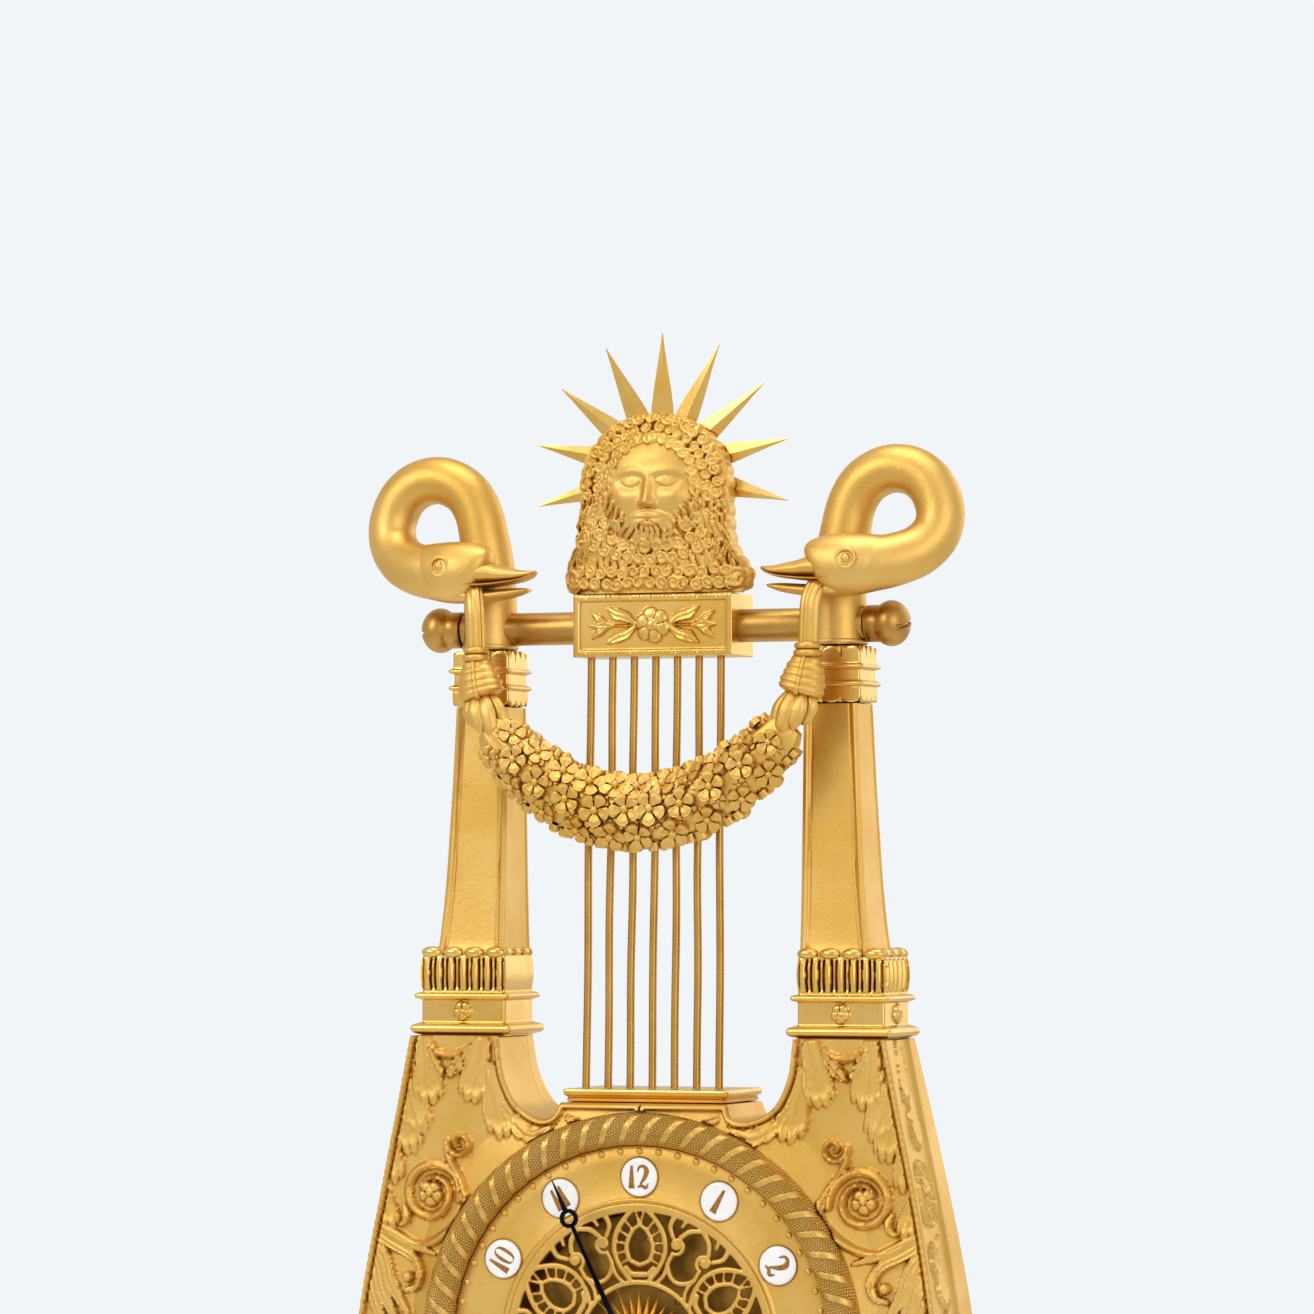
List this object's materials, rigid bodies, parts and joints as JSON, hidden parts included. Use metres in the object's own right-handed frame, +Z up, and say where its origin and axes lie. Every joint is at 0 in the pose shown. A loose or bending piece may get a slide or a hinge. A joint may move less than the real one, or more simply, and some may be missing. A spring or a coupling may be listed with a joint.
{
  "type": "lyre mantel clock",
  "caption": "Gilt bronze lyre clock: bellied body with pierced dial, tapering arms with looped swan heads, strings, garland and rayed mask, on a stepped plinth.",
  "frame": {"origin": "on the floor plane under the middle of the base", "axes": "+Z up, +X to the right as seen from the front, the dial faces -Y"},
  "size_m": [0.26, 0.11, 0.6008],
  "materials": {
    "gilt_matte": "fire-gilt bronze, matted with a fine punch",
    "gilt_burnished": "fire-gilt bronze, burnished bright",
    "gilt_worn": "gilt brass rod, worn and darkened",
    "enamel": "white enamel with gilt numerals",
    "blued_steel": "steel, blued nearly black and polished",
    "polished_steel": "polished steel",
    "bell_metal": "pale bell bronze, turned",
    "movement_brass": "brushed brass with a warm tarnish"
  },
  "bodies": {
    "case": {"foot_front_left": "gilt_burnished", "foot_front_right": "gilt_burnished", "foot_rear_left": "gilt_burnished", "foot_rear_right": "gilt_burnished", "plinth_base": "gilt_burnished", "plinth_block": "gilt_matte", "lyre_socle": "gilt_burnished", "lyre_body": "gilt_matte", "arm_base_left": "gilt_burnished", "arm_base_right": "gilt_burnished", "arm_shaft_left": "gilt_matte", "arm_shaft_right": "gilt_matte", "collar_left": "gilt_burnished", "collar_right": "gilt_burnished", "swan_left": "gilt_matte", "swan_right": "gilt_matte", "garland_hanger_left": "gilt_matte", "garland_hanger_right": "gilt_matte", "cross_bar": "gilt_worn", "bar_knob_left": "gilt_burnished", "bar_knob_right": "gilt_burnished", "plaque": "gilt_burnished", "sun_mask": "gilt_matte", "ray_crown": "gilt_burnished", "string_ledge": "gilt_burnished", "string_1": "gilt_worn", "string_2": "gilt_worn", "string_3": "gilt_worn", "string_4": "gilt_worn", "string_5": "gilt_worn", "string_6": "gilt_worn", "string_7": "gilt_worn", "garland": "gilt_matte", "bezel": "gilt_matte", "dial_plate": "gilt_matte", "front_plate": "movement_brass", "back_plate": "movement_brass", "suspension_cock": "movement_brass", "bell": "bell_metal", "bell_stand": "polished_steel", "rear_drum": "gilt_burnished", "hinge_pin": "polished_steel"},
    "minute_arbor": {"centre_arbor": "movement_brass", "minute_hand": "blued_steel", "hand_cap": "blued_steel"},
    "hour_pipe": {"hour_wheel": "movement_brass", "hour_hand": "blued_steel"},
    "minute_wheel": {"minute_wheel": "movement_brass"},
    "intermediate_wheel": {"intermediate_wheel": "movement_brass"},
    "going_barrel": {"going_barrel": "movement_brass"},
    "third_wheel": {"third_wheel": "movement_brass"},
    "escape_wheel": {"escape_wheel": "movement_brass"},
    "pallets": {"pallet_anchor": "polished_steel"},
    "pendulum": {"pendulum": "movement_brass"},
    "strike_pin_wheel": {"strike_pin_wheel": "movement_brass"},
    "strike_barrel": {"strike_barrel": "movement_brass"},
    "hammer": {"hammer": "polished_steel"},
    "winding_arbor_going": {"winding_arbor_going": "polished_steel"},
    "winding_arbor_strike": {"winding_arbor_strike": "polished_steel"},
    "rear_door": {"rear_door": "gilt_burnished"}
  },
  "joints": [
    {"name": "minute_turn", "type": "hinge", "parent": "case", "child": "minute_arbor", "pos_m": [0, 0, 0.215], "axis": [0, 1, 0], "continuous": true},
    {"name": "hour_turn", "type": "hinge", "parent": "case", "child": "hour_pipe", "pos_m": [0, 0, 0.215], "axis": [0, 1, 0], "continuous": true},
    {"name": "minute_wheel_turn", "type": "hinge", "parent": "case", "child": "minute_wheel", "pos_m": [0, 0, 0.203], "axis": [0, 1, 0], "continuous": true},
    {"name": "intermediate_turn", "type": "hinge", "parent": "case", "child": "intermediate_wheel", "pos_m": [-0.02086, 0, 0.2174], "axis": [0, 1, 0], "continuous": true},
    {"name": "going_barrel_turn", "type": "hinge", "parent": "case", "child": "going_barrel", "pos_m": [-0.023, 0, 0.195], "axis": [0, 1, 0], "continuous": true},
    {"name": "third_turn", "type": "hinge", "parent": "case", "child": "third_wheel", "pos_m": [0.012, 0, 0.2316], "axis": [0, 1, 0], "continuous": true},
    {"name": "escape_turn", "type": "hinge", "parent": "case", "child": "escape_wheel", "pos_m": [0, 0, 0.2413], "axis": [0, 1, 0], "continuous": true},
    {"name": "strike_turn", "type": "hinge", "parent": "case", "child": "strike_pin_wheel", "pos_m": [0.02086, 0, 0.2174], "axis": [0, 1, 0], "continuous": true},
    {"name": "strike_barrel_turn", "type": "hinge", "parent": "case", "child": "strike_barrel", "pos_m": [0.023, 0, 0.195], "axis": [0, 1, 0], "continuous": true},
    {"name": "pendulum_swing", "type": "hinge", "parent": "case", "child": "pendulum", "pos_m": [0, 0.0135, 0.255], "axis": [0, 1, 0], "range_deg": [-4, 4]},
    {"name": "pallet_swing", "type": "hinge", "parent": "case", "child": "pallets", "pos_m": [0, 0, 0.255], "axis": [0, 1, 0], "range_deg": [-4, 4]},
    {"name": "hammer_lift", "type": "hinge", "parent": "case", "child": "hammer", "pos_m": [0.044, 0, 0.1985], "axis": [0, -1, 0], "range_deg": [0, 8]},
    {"name": "winding_going_turn", "type": "hinge", "parent": "case", "child": "winding_arbor_going", "pos_m": [-0.023, 0, 0.195], "axis": [0, 1, 0], "continuous": true},
    {"name": "winding_strike_turn", "type": "hinge", "parent": "case", "child": "winding_arbor_strike", "pos_m": [0.023, 0, 0.195], "axis": [0, 1, 0], "continuous": true},
    {"name": "door_swing", "type": "hinge", "parent": "case", "child": "rear_door", "pos_m": [0.0576, 0.0454, 0.215], "axis": [0, 0, -1], "range_deg": [0, 110]}
  ],
  "couplings": [
    {"joint": "hour_turn", "follows": "minute_turn", "ratio": 0.083333},
    {"joint": "minute_wheel_turn", "follows": "minute_turn", "ratio": -0.33333},
    {"joint": "intermediate_turn", "follows": "minute_turn", "ratio": -0.16667},
    {"joint": "going_barrel_turn", "follows": "minute_turn", "ratio": 0.025641},
    {"joint": "third_turn", "follows": "minute_turn", "ratio": -12},
    {"joint": "escape_turn", "follows": "minute_turn", "ratio": 120},
    {"joint": "strike_barrel_turn", "follows": "strike_turn", "ratio": -0.15385},
    {"joint": "pallet_swing", "follows": "pendulum_swing", "ratio": 1}
  ]
}
